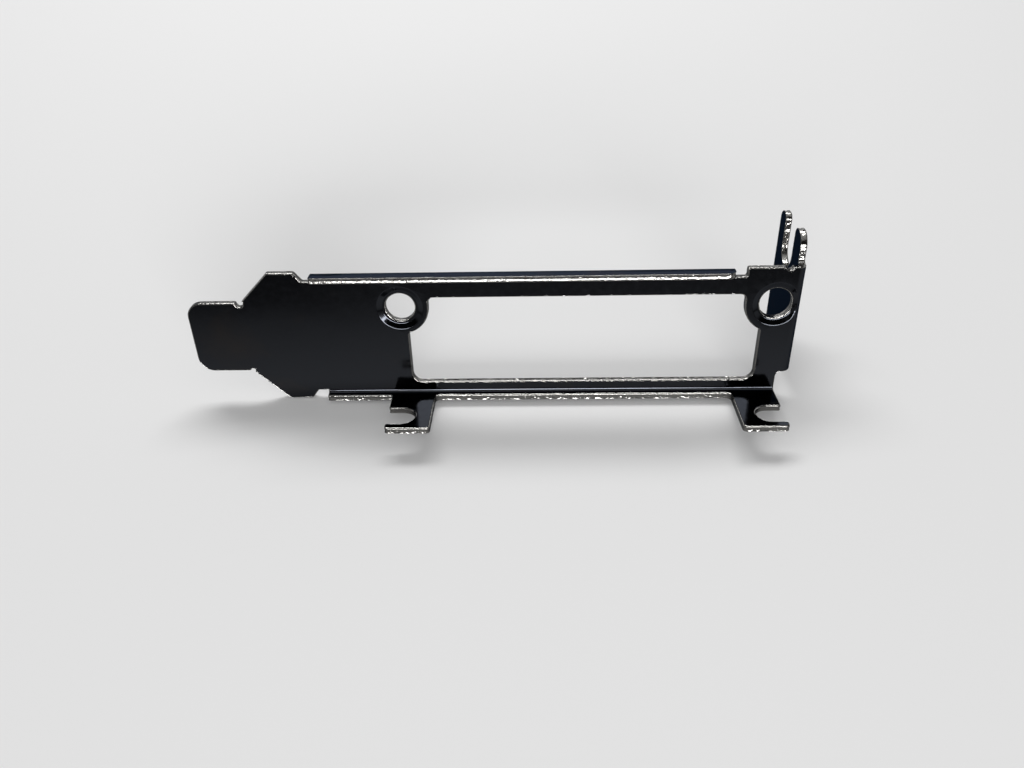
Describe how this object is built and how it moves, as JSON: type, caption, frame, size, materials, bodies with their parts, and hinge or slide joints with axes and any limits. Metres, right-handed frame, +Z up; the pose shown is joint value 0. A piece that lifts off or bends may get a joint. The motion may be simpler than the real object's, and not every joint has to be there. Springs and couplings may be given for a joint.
{
  "type": "pci slot cover bracket",
  "caption": "Low-profile expansion card bracket in folded sheet steel, with a connector window, dished jackscrew holes, notched card tabs, a slotted screw tab and an alignment tongue.",
  "frame": {"origin": "centre of the bounding box's footprint, on the surface that the bracket rests on", "axes": "+X from the tongue to the screw tab, +Y away from the side that the card is on, +Z up, with the bracket lying on its card edge and leaning back on its screw tab"},
  "size_m": [0.0792, 0.0262, 0.02],
  "materials": {
    "black_nickel": "smooth black nickel plate on cold-rolled steel, near mirror-bright, with lighter cut edges"
  },
  "bodies": {
    "root": {"bracket": "black_nickel"}
  },
  "joints": []
}
